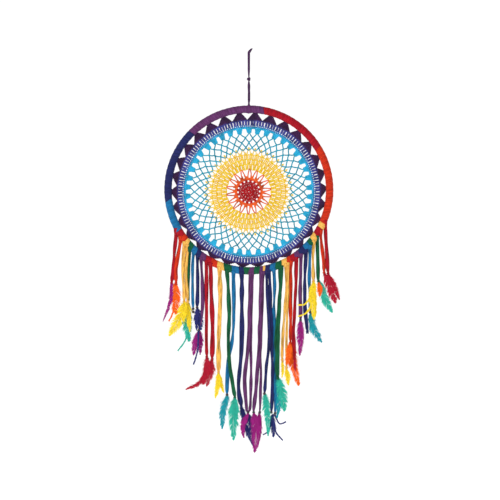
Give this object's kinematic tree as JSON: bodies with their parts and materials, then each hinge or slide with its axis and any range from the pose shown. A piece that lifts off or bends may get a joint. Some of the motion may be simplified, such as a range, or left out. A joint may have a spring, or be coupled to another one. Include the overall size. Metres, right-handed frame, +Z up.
{
  "type": "dream catcher",
  "caption": "Hanging ornament: fabric-wrapped ring with a crocheted round web, a looped hanging strip, and hanging ribbons with beads and feathers that swing from the ring's lower half.",
  "frame": {"origin": "inside top of the hanging loop, where the hook bears", "axes": "+Z up, +X to the right seen from the front, the front faces -Y"},
  "size_m": [0.4392, 0.023, 0.9983],
  "materials": {
    "purple_strip": "matt",
    "cane": "raw, satin",
    "purple_jersey": "matt",
    "crimson_jersey": "matt",
    "vermilion_jersey": "matt",
    "blue_jersey": "matt",
    "navy_jersey": "matt",
    "yellow_jersey": "matt",
    "green_jersey": "matt",
    "crochet_red": "matt",
    "crochet_orange": "matt",
    "crochet_yellow": "matt",
    "crochet_turquoise": "matt",
    "crochet_violet": "matt",
    "crochet_plum": "matt",
    "dark_bead": "lacquered, semi-gloss",
    "feather_lemon": "matt",
    "feather_navy": "matt",
    "feather_crimson": "matt",
    "feather_turquoise": "matt",
    "feather_magenta": "matt",
    "feather_orange": "matt",
    "feather_teal": "matt"
  },
  "bodies": {
    "hanger": {"hanging_loop": "purple_strip"},
    "knot": {"hanger_knot": "purple_strip"},
    "tail": {"hanger_tail": "purple_strip"},
    "hoop": {"hanger_hitch": "purple_strip", "ring_core": "cane", "wrap_purple": "purple_jersey", "wrap_crimson": "crimson_jersey", "wrap_vermilion": "vermilion_jersey", "wrap_blue": "blue_jersey", "wrap_navy": "navy_jersey", "turns_yellow": "yellow_jersey", "turns_vermilion": "vermilion_jersey", "turns_crimson": "crimson_jersey", "turns_green": "green_jersey", "turns_blue": "blue_jersey", "turns_navy": "navy_jersey", "turns_purple": "purple_jersey", "web_centre": "crochet_red", "web_orange_round": "crochet_orange", "web_petals": "crochet_orange", "web_yellow_rounds": "crochet_yellow", "web_net": "crochet_turquoise", "web_border": "crochet_violet", "web_triangles": "crochet_plum"},
    "strand_1": {"strand_1_ribbons": "crimson_jersey", "strand_1_beads": "dark_bead", "strand_1_feathers": "feather_lemon"},
    "strand_2": {"strand_2_ribbons": "blue_jersey", "strand_2_beads": "dark_bead"},
    "strand_3": {"strand_3_ribbons": "navy_jersey", "strand_3_beads": "dark_bead", "strand_3_feathers": "feather_navy"},
    "strand_4": {"strand_4_ribbons": "crimson_jersey", "strand_4_beads": "dark_bead", "strand_4_feathers": "feather_crimson"},
    "strand_5": {"strand_5_ribbons": "yellow_jersey", "strand_5_beads": "dark_bead", "strand_5_feathers": "feather_lemon"},
    "strand_6": {"strand_6_ribbons": "green_jersey", "strand_6_beads": "dark_bead", "strand_6_feathers": "feather_turquoise"},
    "strand_7": {"strand_7_ribbons": "purple_jersey", "strand_7_beads": "dark_bead", "strand_7_feathers": "feather_magenta"},
    "strand_8": {"strand_8_ribbons": "navy_jersey", "strand_8_beads": "dark_bead", "strand_8_feathers": "feather_turquoise"},
    "strand_9": {"strand_9_ribbons": "vermilion_jersey", "strand_9_beads": "dark_bead", "strand_9_feathers": "feather_orange"},
    "strand_10": {"strand_10_ribbons": "purple_jersey", "strand_10_beads": "dark_bead", "strand_10_feathers": "feather_teal"},
    "strand_11": {"strand_11_ribbons": "crimson_jersey", "strand_11_beads": "dark_bead", "strand_11_feathers": "feather_crimson"}
  },
  "joints": [
    {"name": "sway", "type": "hinge", "parent": "hanger", "child": "knot", "pos_m": [0, 0, -0.0669], "axis": [0, 1, 0], "range_deg": [-12, 12]},
    {"name": "twist", "type": "hinge", "parent": "knot", "child": "tail", "pos_m": [0, 0, -0.0772], "axis": [0, 0, 1], "range_deg": [-90, 90]},
    {"name": "swing", "type": "hinge", "parent": "tail", "child": "hoop", "pos_m": [0, 0, -0.1346], "axis": [1, 0, 0], "range_deg": [-20, 20]},
    {"name": "strand_1_swing", "type": "hinge", "parent": "hoop", "child": "strand_1", "pos_m": [-0.161, 0, -0.481], "axis": [1, 0, 0], "range_deg": [-35, 35]},
    {"name": "strand_2_swing", "type": "hinge", "parent": "hoop", "child": "strand_2", "pos_m": [-0.137, 0, -0.507], "axis": [1, 0, 0], "range_deg": [-35, 35]},
    {"name": "strand_3_swing", "type": "hinge", "parent": "hoop", "child": "strand_3", "pos_m": [-0.122, 0, -0.518], "axis": [1, 0, 0], "range_deg": [-35, 35]},
    {"name": "strand_4_swing", "type": "hinge", "parent": "hoop", "child": "strand_4", "pos_m": [-0.1, 0, -0.532], "axis": [1, 0, 0], "range_deg": [-35, 35]},
    {"name": "strand_5_swing", "type": "hinge", "parent": "hoop", "child": "strand_5", "pos_m": [-0.072, 0, -0.545], "axis": [1, 0, 0], "range_deg": [-35, 35]},
    {"name": "strand_6_swing", "type": "hinge", "parent": "hoop", "child": "strand_6", "pos_m": [-0.046, 0, -0.552], "axis": [1, 0, 0], "range_deg": [-35, 35]},
    {"name": "strand_7_swing", "type": "hinge", "parent": "hoop", "child": "strand_7", "pos_m": [0.012, 0, -0.556], "axis": [1, 0, 0], "range_deg": [-35, 35]},
    {"name": "strand_8_swing", "type": "hinge", "parent": "hoop", "child": "strand_8", "pos_m": [0.063, 0, -0.547], "axis": [1, 0, 0], "range_deg": [-24, 24]},
    {"name": "strand_9_swing", "type": "hinge", "parent": "hoop", "child": "strand_9", "pos_m": [0.102, 0, -0.53], "axis": [1, 0, 0], "range_deg": [-30, 30]},
    {"name": "strand_10_swing", "type": "hinge", "parent": "hoop", "child": "strand_10", "pos_m": [0.145, 0, -0.498], "axis": [1, 0, 0], "range_deg": [-35, 35]},
    {"name": "strand_11_swing", "type": "hinge", "parent": "hoop", "child": "strand_11", "pos_m": [0.179, 0, -0.457], "axis": [1, 0, 0], "range_deg": [-35, 35]}
  ]
}
